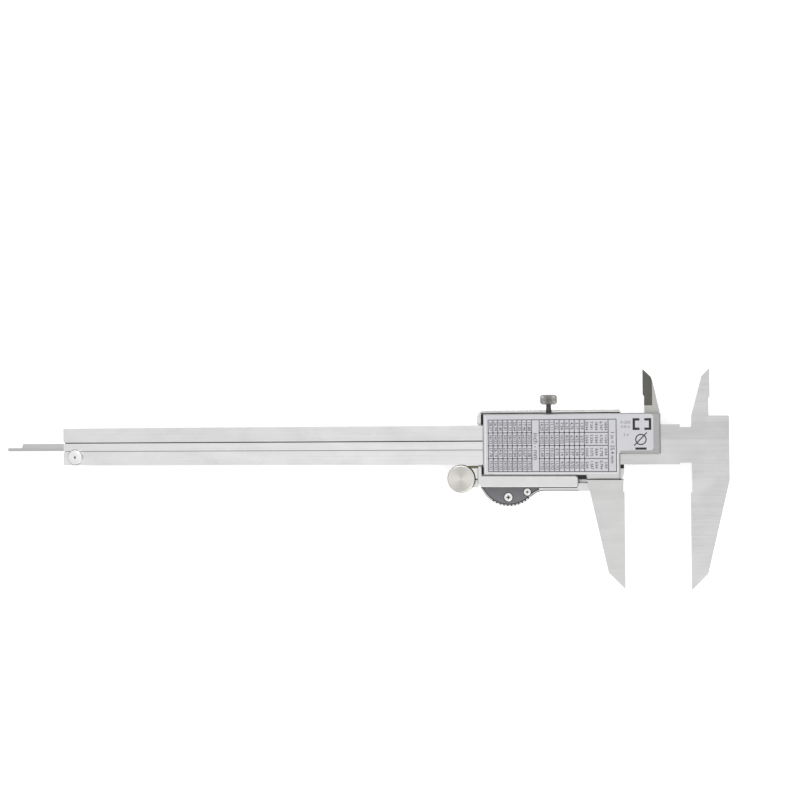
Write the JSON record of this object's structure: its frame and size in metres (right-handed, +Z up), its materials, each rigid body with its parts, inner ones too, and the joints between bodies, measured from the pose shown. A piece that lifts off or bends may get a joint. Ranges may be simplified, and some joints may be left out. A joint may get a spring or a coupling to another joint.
{
  "type": "digital caliper",
  "caption": "Metal-cased digital caliper, 0 to 200 mm, with sliding outside and inside jaws, depth rod, thumb roller and lock screw.",
  "frame": {"origin": "centre of the bounding box's bottom: the caliper lies on the flat front of its case, rear face up", "axes": "+X along the beam from the depth rod's end to the fixed jaw, +Y from the outside jaws to the inside jaws, +Z up, out of the rear face"},
  "size_m": [0.307, 0.0882, 0.0138],
  "materials": {
    "steel": "satin ground, fine lengthwise brushing",
    "bright_steel": "bright turned and plated",
    "dark_steel": "dark plated",
    "satin_case": "satin plated casting",
    "grey_plate": "dark grey satin",
    "label": "printed film",
    "scale_film": "printed film",
    "bronze": "rolled",
    "brass": "rolled",
    "board": "solder mask",
    "black_plastic": "moulded",
    "rubber": "moulded",
    "window": "clear polished",
    "lcd": "reflective display"
  },
  "bodies": {
    "beam": {"beam_with_fixed_jaws": "steel", "capacitive_scale_strip": "board", "scale_cover_film": "scale_film", "beam_stop_screw": "bright_steel"},
    "slider": {"slider_body_with_jaws": "steel", "gib_strip": "bronze", "gib_screw_rear_end": "dark_steel", "gib_screw_jaw_end": "dark_steel", "depth_rod": "steel", "depth_rod_screw": "dark_steel", "case_screw_roller_end_low": "dark_steel", "case_screw_roller_end_high": "dark_steel", "case_screw_jaw_end_low": "dark_steel", "case_screw_jaw_end_high": "dark_steel", "rear_conversion_label": "label", "front_case": "satin_case", "thumb_rest_back_plate": "grey_plate", "thumb_rest_screw_large": "bright_steel", "thumb_rest_screw_small": "bright_steel", "display_window": "window", "lcd_panel": "lcd", "lcd_frame": "black_plastic", "contact_strip_upper": "rubber", "contact_strip_lower": "rubber", "circuit_board": "board", "measuring_chip": "black_plastic", "button_pad": "rubber", "coin_cell": "bright_steel", "cell_tray": "black_plastic", "cell_contact_negative": "brass", "cell_contact_positive": "brass", "roller_bracket": "bright_steel", "roller_bracket_screw": "dark_steel"},
    "lock_shoe": {"lock_shoe": "brass"},
    "lock_screw": {"lock_screw": "dark_steel"},
    "thumb_roller": {"thumb_roller": "bright_steel", "roller_retaining_ring": "dark_steel"},
    "button_units": {"button_units": "black_plastic"},
    "button_zero": {"button_zero": "black_plastic"},
    "button_power": {"button_power": "black_plastic"},
    "battery_door": {"battery_door": "satin_case"}
  },
  "joints": [
    {"name": "slider_slide", "type": "slide", "parent": "beam", "child": "slider", "axis": [-1, 0, 0], "range_m": [-0.026, 0.174]},
    {"name": "roller_turn", "type": "hinge", "parent": "slider", "child": "thumb_roller", "pos_m": [0.0464, 0.00005, 0.0102], "axis": [0, 0, 1], "range_deg": [-1735, 260]},
    {"name": "lock_shoe_slide", "type": "slide", "parent": "slider", "child": "lock_shoe", "axis": [0, -1, 0], "range_m": [-0.00045, 0.0001375]},
    {"name": "lock_turn", "type": "hinge", "parent": "lock_shoe", "child": "lock_screw", "pos_m": [0.08245, 0.0303, 0.0102], "axis": [0, -1, 0], "range_deg": [-362, 112]},
    {"name": "battery_door_slide", "type": "slide", "parent": "slider", "child": "battery_door", "axis": [-1, 0, 0], "range_m": [0, 0.024]},
    {"name": "button_units_press", "type": "slide", "parent": "slider", "child": "button_units", "axis": [0, 0, 1], "range_m": [0, 0.0005], "stiffness_N_per_m": 300, "springref_m": -0.001},
    {"name": "button_zero_press", "type": "slide", "parent": "slider", "child": "button_zero", "axis": [0, 0, 1], "range_m": [0, 0.0005], "stiffness_N_per_m": 300, "springref_m": -0.001},
    {"name": "button_power_press", "type": "slide", "parent": "slider", "child": "button_power", "axis": [0, 0, 1], "range_m": [0, 0.0005], "stiffness_N_per_m": 300, "springref_m": -0.001}
  ],
  "couplings": [
    {"joint": "roller_turn", "follows": "slider_slide", "rad_per_m": -173.91},
    {"joint": "lock_turn", "follows": "lock_shoe_slide", "rad_per_m": 13963}
  ]
}
